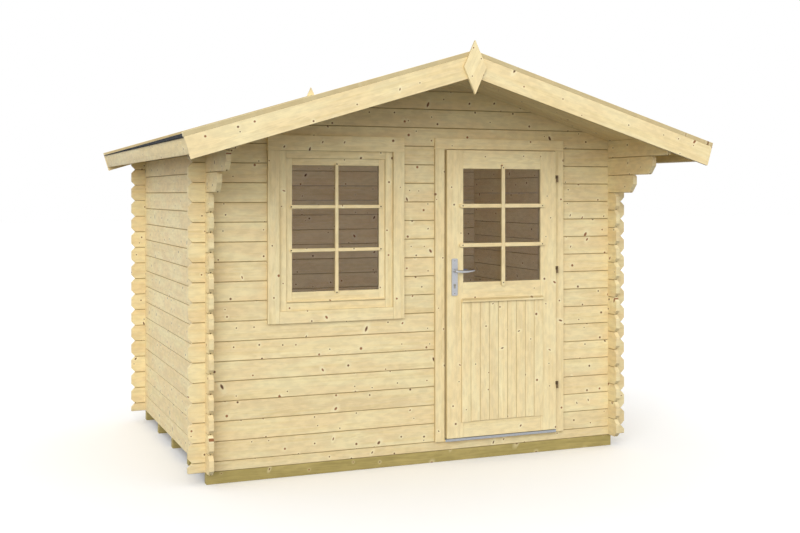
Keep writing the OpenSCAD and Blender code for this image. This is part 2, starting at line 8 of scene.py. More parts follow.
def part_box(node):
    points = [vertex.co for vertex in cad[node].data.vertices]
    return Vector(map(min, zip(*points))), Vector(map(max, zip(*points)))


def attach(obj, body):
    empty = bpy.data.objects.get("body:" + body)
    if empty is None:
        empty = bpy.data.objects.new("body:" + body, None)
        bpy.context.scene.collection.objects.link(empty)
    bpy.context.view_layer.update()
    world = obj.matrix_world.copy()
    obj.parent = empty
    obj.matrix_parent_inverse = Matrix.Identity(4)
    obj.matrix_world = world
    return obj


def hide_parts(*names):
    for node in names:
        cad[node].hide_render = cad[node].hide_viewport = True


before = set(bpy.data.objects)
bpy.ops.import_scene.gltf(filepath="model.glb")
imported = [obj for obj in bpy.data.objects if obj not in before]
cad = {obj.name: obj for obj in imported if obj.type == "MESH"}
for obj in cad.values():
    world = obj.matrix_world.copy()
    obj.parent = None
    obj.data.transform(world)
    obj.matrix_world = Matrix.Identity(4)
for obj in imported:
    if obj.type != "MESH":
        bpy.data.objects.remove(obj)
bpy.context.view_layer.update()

# ---------- Walls ----------
# Planed spruce logs, 28 mm thick, stacked in courses of 114 mm. They cross at the
# corners and run on past them, and the front ones stop at the door and window.
# Each log is sawn from its own stem, so rings and knots differ from log to log.


def add_node(tree, kind, inputs=None, **settings):
    """A node with its settings made and its inputs set or linked."""
    made = tree.nodes.new(kind)
    for name, value in settings.items():
        setattr(made, name, value)
    for name, value in (inputs or {}).items():
        if isinstance(value, bpy.types.NodeSocket):
            tree.links.new(value, made.inputs[name])
        else:
            made.inputs[name].default_value = value
    return made


def calc(tree, operation, *values):
    """One step of arithmetic on numbers or sockets."""
    return add_node(tree, "ShaderNodeMath", dict(enumerate(values)), operation=operation).outputs[0]


def fade(tree, value, low, high, start=0.0, end=1.0):
    """A smooth rise from start to end as value goes from low to high."""
    inputs = {"Value": value, "From Min": low, "From Max": high, "To Min": start, "To Max": end}
    return add_node(tree, "ShaderNodeMapRange", inputs, interpolation_type="SMOOTHSTEP").outputs["Result"]


def blend_colour(tree, amount, first, second, how="MIX"):
    """A mix of two colours, all first at 0 and all second at 1."""
    inputs = {"Factor": amount, 6: first, 7: second}
    return add_node(tree, "ShaderNodeMix", inputs, data_type="RGBA", blend_type=how).outputs[2]


def point(tree, x=0.0, y=0.0, z=0.0):
    """A place made of three numbers or sockets."""
    return add_node(tree, "ShaderNodeCombineXYZ", {0: x, 1: y, 2: z}).outputs[0]


def noise(tree, place, scale, detail):
    """Soft noise from 0 to 1."""
    inputs = {"Vector": place, "Scale": scale, "Detail": detail}
    return add_node(tree, "ShaderNodeTexNoise", inputs).outputs["Fac"]


def split_colour(tree, colour):
    """The three parts of a colour."""
    return add_node(tree, "ShaderNodeSeparateColor", {0: colour}).outputs


def new_group(name, inputs, outputs):
    """An empty node group with named sockets, and its two end nodes."""
    group = bpy.data.node_groups.new(name, "ShaderNodeTree")
    for label, kind, value in inputs:
        socket = group.interface.new_socket(name=label, in_out="INPUT", socket_type=kind)
        socket.default_value = value
    for label, kind in outputs:
        group.interface.new_socket(name=label, in_out="OUTPUT", socket_type=kind)
    return group, group.nodes.new("NodeGroupInput").outputs, group.nodes.new("NodeGroupOutput")


def make_timber_group():
    """Sawn softwood: rings round a pith of its own in each board, fibres, tones and knots.

    Board is a place in the board, with X along the grain, Y through its thickness
    and Z across its width. Seed tells the boards apart.
    """
    tree, given, result = new_group(
        "Timber",
        [
            ("Board", "NodeSocketVector", (0, 0, 0)),
            ("Seed", "NodeSocketFloat", 0.0),
            ("Pale", "NodeSocketColor", (0.87, 0.75, 0.44, 1)),
            ("Warm", "NodeSocketColor", (0.83, 0.66, 0.37, 1)),
            ("Late wood", "NodeSocketColor", (0.74, 0.57, 0.25, 1)),
            ("Knot", "NodeSocketColor", (0.085, 0.03, 0.008, 1)),
            ("Ring width", "NodeSocketFloat", 0.0042),
            ("Knottiness", "NodeSocketFloat", 0.66),
            ("Joint", "NodeSocketFloat", 0.0),
        ],
        [("Color", "NodeSocketColor"), ("Roughness", "NodeSocketFloat"), ("Height", "NodeSocketFloat")],
    )
    seed = given["Seed"]
    place = add_node(tree, "ShaderNodeSeparateXYZ", {0: given["Board"]}).outputs
    chance = add_node(tree, "ShaderNodeTexWhiteNoise", {"W": seed}, noise_dimensions="1D").outputs["Color"]
    chance = split_colour(tree, chance)
    along = calc(tree, "MULTIPLY_ADD", seed, 7.31, place[0])

    # Knots: one chance in each cell, round or cut on the slant
    per_length, per_width = 7.4, 11.5
    cell_z = calc(tree, "MULTIPLY_ADD", place[2], per_width, calc(tree, "MULTIPLY", seed, 3.17))
    cell = point(tree, calc(tree, "MULTIPLY", along, per_length), cell_z)
    knots = add_node(
        tree, "ShaderNodeTexVoronoi", {"Vector": cell, "Scale": 1.0}, voronoi_dimensions="2D"
    ).outputs
    lot = split_colour(tree, knots["Color"])
    offset = add_node(
        tree, "ShaderNodeVectorMath", {0: cell, 1: knots["Position"]}, operation="SUBTRACT"
    ).outputs[0]
    offset = add_node(
        tree,
        "ShaderNodeVectorMath",
        {0: offset, 1: (1 / per_length, 1 / per_width, 0)},
        operation="MULTIPLY",
    ).outputs[0]
    turned = add_node(
        tree,
        "ShaderNodeVectorRotate",
        {"Vector": offset, "Angle": calc(tree, "MULTIPLY_ADD", lot[2], 2.6, -1.3)},
        rotation_type="Z_AXIS",
    ).outputs[0]
    stretch = fade(tree, lot[2], 0.72, 0.97, 1.0, 2.4)
    turned = add_node(tree, "ShaderNodeSeparateXYZ", {0: turned}).outputs
    across = calc(tree, "DIVIDE", turned[0], stretch)
    least_radius, more_radius = 0.0034, 0.0046
    size = calc(tree, "MULTIPLY_ADD", calc(tree, "POWER", lot[1], 2.2), more_radius, least_radius)
    across_squared = calc(tree, "MULTIPLY", across, across)
    along_squared = calc(tree, "MULTIPLY", turned[1], turned[1])
    reach = calc(tree, "SQRT", calc(tree, "ADD", across_squared, along_squared))
    reach = calc(tree, "DIVIDE", reach, size)
    present = calc(tree, "LESS_THAN", lot[0], given["Knottiness"])
    core = calc(tree, "MULTIPLY", fade(tree, reach, 0.65, 1.2, 1.0, 0.0), present)
    from_rim = calc(tree, "ABSOLUTE", calc(tree, "SUBTRACT", reach, 1.0))
    rim = calc(tree, "MULTIPLY", fade(tree, from_rim, 0.0, 0.35, 1.0, 0.0), present)
    halo = calc(tree, "MULTIPLY", fade(tree, reach, 1.0, 4.2, 1.0, 0.0), present)

    # Growth rings, bent by slow wander and round the knots
    slow = add_node(
        tree,
        "ShaderNodeTexNoise",
        {"Vector": point(tree, along, seed), "Scale": 1.1, "Detail": 2.0},
        noise_dimensions="2D",
    ).outputs["Color"]
    slow = split_colour(tree, slow)
    pith_y = calc(tree, "MULTIPLY_ADD", chance[0], 0.16, -0.08)
    pith_y = calc(tree, "ADD", pith_y, calc(tree, "MULTIPLY_ADD", slow[0], 0.05, -0.025))
    pith_z = calc(tree, "MULTIPLY_ADD", chance[1], 0.09, -0.045)
    pith_z = calc(tree, "ADD", pith_z, calc(tree, "MULTIPLY_ADD", slow[1], 0.05, -0.025))
    pith_off_y = calc(tree, "SUBTRACT", place[1], pith_y)
    pith_off_z = calc(tree, "SUBTRACT", place[2], pith_z)
    from_pith = point(tree, 0.0, pith_off_y, pith_off_z)
    radius = add_node(tree, "ShaderNodeVectorMath", {0: from_pith}, operation="LENGTH").outputs["Value"]
    radius = calc(tree, "ADD", radius, calc(tree, "MULTIPLY", halo, 0.006))
    rings = calc(tree, "FRACT", calc(tree, "DIVIDE", radius, given["Ring width"]))
    late = calc(
        tree,
        "MULTIPLY",
        fade(tree, rings, 0.35, 0.9, 0.0, 1.0),
        fade(tree, rings, 0.9, 1.0, 1.0, 0.0),
    )

    # Fine fibres, broad streaks, slow changes of tone and small patches, all drawn out along the grain
    fibre_y, fibre_z = [calc(tree, "MULTIPLY", place[i], 420.0) for i in (1, 2)]
    fibre = noise(tree, point(tree, calc(tree, "MULTIPLY", along, 6.0), fibre_y, fibre_z), 1.0, 3.0)
    streak_y, streak_z = [calc(tree, "MULTIPLY", place[i], 55.0) for i in (1, 2)]
    streak = noise(tree, point(tree, calc(tree, "MULTIPLY", along, 1.6), streak_y, streak_z), 1.0, 2.0)
    tone_z = calc(tree, "MULTIPLY", place[2], 12.0)
    tone = noise(tree, point(tree, calc(tree, "MULTIPLY", along, 3.0), seed, tone_z), 1.0, 1.0)
    patch_z = calc(tree, "MULTIPLY", place[2], 42.0)
    patch = noise(tree, point(tree, calc(tree, "MULTIPLY", along, 16.0), seed, patch_z), 1.0, 2.0)

    # Colours
    halo_tint = (0.98, 0.9, 0.62, 1)
    fresh_knot = (0.26, 0.085, 0.022, 1)
    knot_rim = (0.42, 0.17, 0.05, 1)
    joint_painted_shade = (0.3, 0.21, 0.08, 1)
    warmth = calc(tree, "ADD", fade(tree, tone, 0.36, 0.64, 0.0, 0.8), calc(tree, "MULTIPLY", chance[2], 0.4))
    colour = blend_colour(tree, warmth, given["Pale"], given["Warm"])
    colour = blend_colour(tree, calc(tree, "MULTIPLY", late, 0.3), colour, given["Late wood"])
    colour = blend_colour(tree, fade(tree, streak, 0.48, 0.7, 0.0, 0.32), colour, given["Late wood"])
    light = calc(tree, "MULTIPLY_ADD", fibre, 0.16, calc(tree, "MULTIPLY_ADD", chance[0], 0.08, 0.86))
    light = calc(tree, "ADD", light, fade(tree, patch, 0.34, 0.66, -0.05, 0.05))
    shade = add_node(tree, "ShaderNodeCombineColor", {0: light, 1: light, 2: light}).outputs[0]
    colour = blend_colour(tree, 1.0, colour, shade, "MULTIPLY")
    pale_halo = calc(tree, "MULTIPLY", halo, calc(tree, "MULTIPLY_ADD", lot[2], 0.5, 0.25))
    bright = blend_colour(tree, 0.4, given["Pale"], halo_tint)
    colour = blend_colour(tree, pale_halo, colour, bright)
    heart = blend_colour(tree, fade(tree, lot[0], 0.05, 0.5), fresh_knot, given["Knot"])
    colour = blend_colour(tree, calc(tree, "MULTIPLY", core, 0.95), colour, heart)
    colour = blend_colour(tree, calc(tree, "MULTIPLY", rim, 0.4), colour, knot_rim)
    # Painted shade: the colour darkens towards joint_painted_shade by the Joint value, in the joints and on
    # the narrow side faces of the boards.
    colour = blend_colour(tree, fade(tree, given["Joint"], 0.0, 1.0, 0.0, 0.7), colour, joint_painted_shade)
    tree.links.new(colour, result.inputs["Color"])
    rough = calc(tree, "MULTIPLY_ADD", fibre, 0.16, calc(tree, "MULTIPLY_ADD", core, -0.15, 0.5))
    tree.links.new(rough, result.inputs["Roughness"])
    fine_height = calc(tree, "MULTIPLY_ADD", fibre, 0.4, calc(tree, "MULTIPLY", core, 0.6))
    height = calc(tree, "MULTIPLY_ADD", late, 0.35, fine_height)
    tree.links.new(height, result.inputs["Height"])
    return tree


timber = make_timber_group()


def make_timber(name, **looks):
    """A timber finish that follows each board's own grain."""
    material = bpy.data.materials.new(name)
    material.use_nodes = True
    tree = material.node_tree
    surface = tree.nodes["Principled BSDF"]
    sawn = add_node(tree, "ShaderNodeGroup", node_tree=timber)
    board = add_node(tree, "ShaderNodeAttribute", attribute_name="board").outputs["Vector"]
    seed = add_node(tree, "ShaderNodeAttribute", attribute_name="board_seed").outputs["Fac"]
    tree.links.new(board, sawn.inputs["Board"])
    tree.links.new(seed, sawn.inputs["Seed"])
    joint = add_node(tree, "ShaderNodeAttribute", attribute_name="joint").outputs["Fac"]
    tree.links.new(joint, sawn.inputs["Joint"])
    for label, value in looks.items():
        sawn.inputs[label.replace("_", " ")].default_value = value
    tree.links.new(sawn.outputs["Color"], surface.inputs["Base Color"])
    tree.links.new(sawn.outputs["Roughness"], surface.inputs["Roughness"])
    bump = add_node(
        tree,
        "ShaderNodeBump",
        {"Height": sawn.outputs["Height"], "Strength": 0.35, "Distance": 0.0006},
    )
    tree.links.new(bump.outputs["Normal"], surface.inputs["Normal"])
    surface.inputs["Specular IOR Level"].default_value = 0.3
    return material


log_wood = make_timber("log_wood")


def solid_of(node):
    """A CAD node's solids as closed shapes with flat faces."""
    shape = bmesh.new()
    shape.from_mesh(cad[node].data)
    bmesh.ops.remove_doubles(shape, verts=shape.verts, dist=0.00002)
    bmesh.ops.dissolve_limit(
        shape, angle_limit=math.radians(0.5), verts=shape.verts, edges=shape.edges
    )
    return shape


def loose_boards(shape):
    """The separate boards in a shape, as lists of vertices."""
    left = set(shape.verts)
    boards = []
    while left:
        start = min(left, key=lambda v: v.index)
        found, edge = {start}, [start]
        while edge:
            for link in edge.pop().link_edges:
                for v in link.verts:
                    if v not in found:
                        found.add(v)
                        edge.append(v)
        boards.append(found)
        left -= found
    return boards


# Painted shade in joints: faces deeper than groove_share of the face get all of it, and narrow side faces get
# edge_shade.
groove_share = 0.3
edge_shade = 0.6


def set_grain(shape, seed, joint_depth=0.0026):
    """Writes each board's own place and number into it, with X along its longest edge.

    The slopes into a joint also get their depth, from 0 at the face to 1, for the
    painted shade there.
    """
    for parts in (shape.verts, shape.edges, shape.faces):
        parts.index_update()
    shape.normal_update()
    place = shape.verts.layers.float_vector.new("board")
    number = shape.verts.layers.float.new("board_seed")
    joint = shape.loops.layers.float.new("joint")
    for k, board in enumerate(loose_boards(shape)):
        edges = sorted({e for v in board for e in v.link_edges}, key=lambda e: e.index)
        faces = sorted({f for v in board for f in v.link_faces}, key=lambda f: f.index)
        longest = max(edges, key=lambda e: round(e.calc_length(), 5))
        grain = (longest.verts[1].co - longest.verts[0].co).normalized()
        areas = {}
        for face in faces:
            if abs(face.normal.dot(grain)) < 0.1:
                key = tuple(round(abs(c), 1) for c in face.normal)
                areas.setdefault(key, [0.0, face.normal.copy()])[0] += face.calc_area()
        through = max(areas.values(), key=lambda a: a[0])[1]
        through = (through - grain * through.dot(grain)).normalized()
        across = grain.cross(through)
        axes = Matrix((grain, through, across))
        spots = {v: axes @ v.co for v in board}
        middle = [
            (min(s[i] for s in spots.values()) + max(s[i] for s in spots.values())) / 2
            for i in range(3)
        ]
        for v, spot in spots.items():
            v[place] = spot - Vector(middle)
            v[number] = seed + k * 1.37
        face_y = max(s[1] for s in spots.values()) - middle[1]
        # Painted shade: full on faces deep in a joint, edge_shade on narrow side faces, and by depth on the
        # slopes into a joint.
        for face in faces:
            if max(abs(v[place].y) for v in face.verts) < groove_share * face_y:
                for corner in face.loops:
                    corner[joint] = 1.0
            elif abs(face.normal.dot(across)) > 0.98:
                for corner in face.loops:
                    corner[joint] = edge_shade
            elif abs(face.normal.dot(grain)) < 0.1 and 0.15 < abs(face.normal.dot(through)) < 0.97:
                for corner in face.loops:
                    depth = face_y - abs(corner.vert[place].y)
                    corner[joint] = min(max(depth / joint_depth, 0.0), 1.0)


def ease_edges(shape, width, least=0.0, segments=2, only=None):
    """Rounds sharp edges longer than least, or only those between the given corners."""
    sharp = [
        e
        for e in shape.edges
        if e.is_manifold and e.calc_face_angle() > math.radians(30) and e.calc_length() > least
        and (only is None or only.issuperset(e.verts))
    ]
    bmesh.ops.bevel(
        shape,
        geom=sharp,
        offset=width,
        offset_type="OFFSET",
        affect="EDGES",
        segments=segments,
        profile=0.5,
        material=-1,
        clamp_overlap=True,
    )


def add_piece(name, shape, material, body, replaces=(), smooth=None):
    """The shape as an object of its own, finished, named and riding on its body."""
    mesh = bpy.data.meshes.new(name)
    shape.to_mesh(mesh)
    shape.free()
    mesh.materials.append(material)
    if smooth is not None:
        mesh.shade_smooth()
        mesh.set_sharp_from_angle(angle=math.radians(smooth))
    piece = bpy.data.objects.new(name, mesh)
    bpy.context.scene.collection.objects.link(piece)
    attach(piece, body)
    if replaces:
        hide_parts(*replaces)
    return piece


log_walls = [
    "left_wall",
    "right_wall",
    "back_wall",
    "back_gable",
    "front_sill_log",
    "front_wall_left",
    "front_wall_right",
    "front_gable",
]
for seed, node in enumerate(log_walls):
    shape = solid_of(node)
    set_grain(shape, 3.1 + seed * 29.7, joint_depth=0.006)
    add_piece("spruce_" + node.replace("wall", "logs"), shape, log_wood, "house", [node])

# ---------- Base ----------
# Five square bearers of pressure-treated pine, olive from the treatment, and the
# floor of spruce boards on them, tongued and grooved with a fine joint.

bearer_wood = make_timber(
    "bearer_wood",
    Pale=(0.5, 0.39, 0.14, 1),
    Warm=(0.42, 0.33, 0.11, 1),
    Late_wood=(0.3, 0.23, 0.07, 1),
    Ring_width=0.0055,
    Knottiness=0.5,
)
shape = solid_of("bearers")
ease_edges(shape, 0.0025)
set_grain(shape, 301.3)
add_piece("treated_bearers", shape, bearer_wood, "house", ["bearers"])


def cut_boards(node, axis, pitch, gap, ease, front=None):
    """A CAD slab cut across one axis into boards, eased where they meet.

    front is the direction that the eased side faces, where only one side is eased.
    """
    whole = solid_of(node)
    low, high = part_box(node)
    count = math.ceil((high[axis] - low[axis]) / pitch)
    normal = Vector([1.0 if i == axis else 0.0 for i in range(3)])
    boards = bmesh.new()
    for k in range(count):
        one = whole.copy()
        for side, at in ((-1, low[axis] + k * pitch), (1, low[axis] + (k + 1) * pitch)):
            if low[axis] < at < high[axis]:
                cut = bmesh.ops.bisect_plane(
                    one,
                    geom=one.verts[:] + one.edges[:] + one.faces[:],
                    plane_co=normal * (at - side * gap / 2),
                    plane_no=normal * side,
                    clear_outer=True,
                )["geom_cut"]
                bmesh.ops.holes_fill(one, edges=[e for e in cut if isinstance(e, bmesh.types.BMEdge)])
        cuts = [low[axis] + (k + j) * pitch for j in (0, 1) if 0 < k + j < count]
        beside = {v for v in one.verts if any(abs(v.co[axis] - at) < gap for at in cuts)}
        if front:
            outmost = max(v.co.dot(front) for v in one.verts)
            beside = {v for v in beside if v.co.dot(front) > outmost - gap}
        ease_edges(one, ease, least=ease * 2, segments=1, only=beside)
        mesh = bpy.data.meshes.new("board")
        one.to_mesh(mesh)
        boards.from_mesh(mesh)
        bpy.data.meshes.remove(mesh)
        one.free()
    whole.free()
    boards.verts.ensure_lookup_table()
    return boards


floor_wood = make_timber("floor_wood", Pale=(0.82, 0.67, 0.37, 1), Warm=(0.8, 0.61, 0.32, 1))
shape = cut_boards("floor", 1, 0.0883, 0.0004, 0.0012)
set_grain(shape, 340.9)
add_piece("floor_boards", shape, floor_wood, "house", ["floor"])

# ---------- Roof ----------
# Spruce roof boards nailed across a ridge beam, under bitumen felt laid in two
# laps a side. Eave boards close the low ends, and wide barge boards with square
# cap strips close the gables and meet under a diamond finial.

roof_wood = make_timber(
    "roof_wood", Pale=(0.8, 0.68, 0.4, 1), Warm=(0.76, 0.61, 0.34, 1), Knottiness=0.75
)
shape = solid_of("ridge_beam")
ease_edges(shape, 0.002)
set_grain(shape, 377.2)
add_piece("ridge_purlin", shape, roof_wood, "house", ["ridge_beam"])
for seed, side in enumerate(("left", "right")):
    shape = cut_boards("roof_deck_" + side, 1, 0.0903, 0.0004, 0.003)
    set_grain(shape, 401.5 + seed * 83.3)
    add_piece("roof_boards_" + side, shape, roof_wood, "house", ["roof_deck_" + side])

trim_wood = make_timber(
    "trim_wood", Pale=(0.91, 0.78, 0.46, 1), Warm=(0.88, 0.71, 0.4, 1), Knottiness=0.5
)
roof_trim = [
    "eave_boards",
    "front_barge_boards",
    "back_barge_boards",
    "front_cap_strips",
    "back_cap_strips",
    "finials",
]
for seed, node in enumerate(roof_trim):
    shape = solid_of(node)
    ease_edges(shape, 0.0015)
    set_grain(shape, 601.7 + seed * 17.9)
    add_piece("planed_" + node, shape, trim_wood, "house", [node])


def make_felt():
    """Bitumen felt with fine mineral grit, a little lighter where it has worn."""
    material = bpy.data.materials.new("roof_felt")
    material.use_nodes = True
    tree = material.node_tree
    surface = tree.nodes["Principled BSDF"]
    place = add_node(tree, "ShaderNodeTexCoord").outputs["Object"]
    grit = add_node(tree, "ShaderNodeTexVoronoi", {"Vector": place, "Scale": 620.0}).outputs
    cloud = noise(tree, place, 2.3, 4.0)
    fresh, worn, mineral = (0.009, 0.01, 0.013, 1), (0.017, 0.019, 0.023, 1), (0.05, 0.053, 0.06, 1)
    colour = blend_colour(tree, fade(tree, cloud, 0.35, 0.7), fresh, worn)
    speck = split_colour(tree, grit["Color"])[0]
    colour = blend_colour(tree, fade(tree, speck, 0.6, 1.0, 0.0, 0.5), colour, mineral)
    tree.links.new(colour, surface.inputs["Base Color"])
    surface.inputs["Roughness"].default_value = 0.92
    surface.inputs["Specular IOR Level"].default_value = 0.12
    bump = add_node(tree, "ShaderNodeBump", {"Height": grit["Distance"], "Strength": 0.5, "Distance": 0.0008})
    tree.links.new(bump.outputs["Normal"], surface.inputs["Normal"])
    return material


roof_felt = make_felt()
felt_sheet = 0.0024
sheet_gap = 0.04
lap_start, lower_lap_end, upper_lap_end = 0.002, 0.93, 0.14
nail_rows = ((0.905, 1), (0.115, 2))
nails_in_row = 27
felt_nail_rise = 0.0012
lap_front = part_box("front_cap_strips")[1].y + 0.001
lap_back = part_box("back_cap_strips")[0].y - 0.001


def lay_sheet(shape, top, start, end, level):
    """A sheet of felt on a roof slope, from start to end down it, level sheets up.

    A small share of its thickness stays open under it. Gives the way down the slope,
    a place on the ridge and the way out of the slope.
    """
    ridge = max((v.co for v in top.verts), key=lambda c: c.z)
    down = min((v.co for v in top.verts), key=lambda c: c.z) - ridge
    down.y = 0
    down.normalize()
    up = top.normal * felt_sheet
    corners = [
        Vector((0, y, 0)) + Vector((ridge.x, 0, ridge.z)) + down * run + up * (level + rise)
        for rise in (sheet_gap, 1)
        for y, run in ((lap_front, start), (lap_back, start), (lap_back, end), (lap_front, end))
    ]
    verts = [shape.verts.new(c) for c in corners]
    shape.faces.new(verts[3::-1])
    shape.faces.new(verts[4:])
    for k in range(4):
        j = (k + 1) % 4
        shape.faces.new((verts[k], verts[j], verts[j + 4], verts[k + 4]))
    return down, Vector((ridge.x, 0, ridge.z)), top.normal


nails = bmesh.new()
for side in ("left", "right"):
    node = "roof_felt_" + side
    cad[node].data.materials.clear()
    cad[node].data.materials.append(roof_felt)
    whole = solid_of(node)
    top = max(whole.faces, key=lambda f: f.calc_area() * f.normal.z)
    laps = bmesh.new()
    lay_sheet(laps, top, lap_start, lower_lap_end, 0)
    down, ridge, normal = lay_sheet(laps, top, lap_start, upper_lap_end, 1)
    bmesh.ops.recalc_face_normals(laps, faces=laps.faces)
    add_piece("felt_laps_" + side, laps, roof_felt, "house")
    turn = Vector((0, 0, 1)).rotation_difference(normal).to_matrix().to_4x4()
    for row, level in nail_rows:
        for k in range(nails_in_row):
            y = lap_front + (lap_back - lap_front) * (k + 0.5) / nails_in_row
            out = normal * (level * felt_sheet + felt_nail_rise / 2)
            spot = ridge + down * row + out + Vector((0, y, 0))
            bmesh.ops.create_cone(
                nails, cap_ends=True, segments=8, radius1=0.005, radius2=0.0042,
                depth=felt_nail_rise, matrix=Matrix.Translation(spot) @ turn,
            )
    whole.free()

# ---------- Window ----------
# A six-pane window of planed spruce: a frame in the wall, a sash set back in it
# with one pane of glass, and glazing bars nailed over the glass. Trim boards cover
# the joint to the logs inside and out.

joinery_wood = make_timber(
    "joinery_wood", Pale=(0.91, 0.78, 0.46, 1), Warm=(0.88, 0.71, 0.4, 1), Knottiness=0.42
)
for seed, node in enumerate(("window_frame", "window_sash", "window_drip_bead")):
    shape = solid_of(node)
    ease_edges(shape, 0.0015)
    set_grain(shape, 711.3 + seed * 13.1)
    add_piece("planed_" + node, shape, joinery_wood, "house", [node])
for seed, node in enumerate(("window_trim_outer", "window_trim_inner")):
    shape = solid_of(node)
    ease_edges(shape, 0.0018)
    set_grain(shape, 765.9 + seed * 11.7)
    add_piece("planed_" + node, shape, trim_wood, "house", [node])


def make_glass():
    """Clear pane with a faint cool tint and a little dust, that lets the room show."""
    material = bpy.data.materials.new("tinted_glass")
    material.use_nodes = True
    tree = material.node_tree
    surface = tree.nodes["Principled BSDF"]
    place = add_node(tree, "ShaderNodeTexCoord").outputs["Object"]
    dust = noise(tree, place, 5.0, 3.0)
    tint = blend_colour(tree, dust, (0.655, 0.68, 0.85, 1), (0.69, 0.72, 0.89, 1))
    tree.links.new(tint, surface.inputs["Base Color"])
    surface.inputs["Roughness"].default_value = 0.0
    surface.inputs["IOR"].default_value = 1.2
    surface.inputs["Transmission Weight"].default_value = 1.0
    return material


tinted_glass = make_glass()
for node in ("window_glass", "door_glass"):
    cad[node].data.materials.clear()
    cad[node].data.materials.append(tinted_glass)


def glazing_bar(shape, start, end, width, depth):
    """A bar with rounded front edges and round ends, from start to end on a face at start's Y."""
    axis = (end - start).normalized()
    length = (end - start).length
    facing = Vector((0, -1, 0))
    bar = bmesh.new()
    bmesh.ops.create_circle(bar, cap_ends=True, cap_tris=False, segments=16, radius=width / 2)
    for v in bar.verts:
        v.co.x += length / 2 - width / 2 if v.co.x > 0.0001 else -length / 2 + width / 2
    out = bmesh.ops.extrude_face_region(bar, geom=bar.faces[:])["geom"]
    bmesh.ops.translate(bar, vec=(0, 0, depth), verts=[v for v in out if isinstance(v, bmesh.types.BMVert)])
    bmesh.ops.recalc_face_normals(bar, faces=bar.faces)
    front = [e for e in bar.edges if all(v.co.z > depth * 0.5 for v in e.verts)]
    bmesh.ops.bevel(
        bar, geom=front, offset=0.0025, offset_type="OFFSET", affect="EDGES",
        segments=2, profile=0.5, material=-1, clamp_overlap=True,
    )
    turn = Matrix((axis, axis.cross(facing) * -1, facing)).transposed()
    middle = (start + end) / 2
    for v in bar.verts:
        v.co = turn @ v.co + middle
    bmesh.ops.recalc_face_normals(bar, faces=bar.faces)
    mesh = bpy.data.meshes.new("bar")
    bar.to_mesh(mesh)
    shape.from_mesh(mesh)
    bpy.data.meshes.remove(mesh)
    bar.free()


def nail_heads(name, spots, radius, material, body):
    """Small domed nail heads that face the front."""
    shape = bmesh.new()
    for spot in spots:
        turn = Matrix.Translation(spot) @ Matrix.Rotation(math.radians(90), 4, "X")
        bmesh.ops.create_cone(
            shape, cap_ends=True, segments=10, radius1=radius, radius2=radius * 0.6,
            depth=0.0008, matrix=turn,
        )
    add_piece(name, shape, material, body)


def glazing_grid(name, glass, face_y, width, depth, overlap, seed, body):
    """One upright bar in front and four cross bars, in equal panes, with their nails."""
    low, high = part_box(glass)
    rebate, nail_out, nail_proud = 0.007, 0.008, 0.0001
    upright_proud, bar_bite = 0.002, 0.004
    left, right = low.x + rebate, high.x - rebate
    bottom, top = low.z + rebate, high.z - rebate
    centre = (left + right) / 2
    shape = bmesh.new()
    spots = []
    glazing_bar(
        shape,
        Vector((centre, face_y, bottom - overlap)),
        Vector((centre, face_y, top + overlap)),
        width,
        depth + upright_proud,
    )
    for z in (bottom - nail_out, top + nail_out):
        spots.append(Vector((centre, face_y - depth - upright_proud - nail_proud, z)))
    pane = (top - bottom - 2 * width) / 3
    for k in (1, 2):
        z = bottom + k * pane + (k - 0.5) * width
        for side, edge in ((-1, left), (1, right)):
            outer = edge + side * overlap
            inner = centre + side * (width / 2 - bar_bite)
            start, end = sorted((inner, outer))
            glazing_bar(shape, Vector((start, face_y, z)), Vector((end, face_y, z)), width, depth)
            spots.append(Vector((edge + side * nail_out, face_y - depth - nail_proud, z)))
    set_grain(shape, seed)
    add_piece(name + "_bars", shape, joinery_wood, body)
    nail_heads(name + "_bar_nails", spots, 0.0048, nail_metal, body)


def make_metal(name, colour, roughness, metallic=1.0, wear=0.05):
    """Metal with faint uneven gloss from handling."""
    material = bpy.data.materials.new(name)
    material.use_nodes = True
    tree = material.node_tree
    surface = tree.nodes["Principled BSDF"]
    place = add_node(tree, "ShaderNodeTexCoord").outputs["Object"]
    mottle = noise(tree, place, 90.0, 4.0)
    dark = tuple(c * (1 - wear * 2) for c in colour) + (1,)
    tone = blend_colour(tree, fade(tree, mottle, 0.3, 0.7), dark, colour + (1,))
    tree.links.new(tone, surface.inputs["Base Color"])
    tree.links.new(calc(tree, "MULTIPLY_ADD", mottle, 0.14, roughness - 0.07), surface.inputs["Roughness"])
    bump = add_node(tree, "ShaderNodeBump", {"Height": mottle, "Strength": 0.12, "Distance": 0.0003})
    tree.links.new(bump.outputs["Normal"], surface.inputs["Normal"])
    surface.inputs["Metallic"].default_value = metallic
    return material


# hinge_metal is a darker copy of hinge_bronze: painted shade on the leaf hinges. The plate screws use it too.
hinge_metal = make_metal("hinge_metal", (0.13, 0.085, 0.04), 0.5, metallic=0.5, wear=0.2)
hinge_bronze = make_metal("hinge_bronze", (0.22, 0.15, 0.07), 0.45, metallic=0.5, wear=0.2)
nail_metal = make_metal("nail_metal", (0.035, 0.022, 0.012), 0.8, metallic=0.0, wear=0.2)
add_piece("felt_nails", nails, nail_metal, "house")
sash_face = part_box("window_sash")[0].y
glazing_grid("window", "window_glass", sash_face, 0.022, 0.012, 0.014, 803.1, "house")

# ---------- Door frame ----------
# Spruce jambs and a head in the log opening, trimmed inside and out, with a low
# wooden threshold whose front is sheathed in a thin aluminium plate.

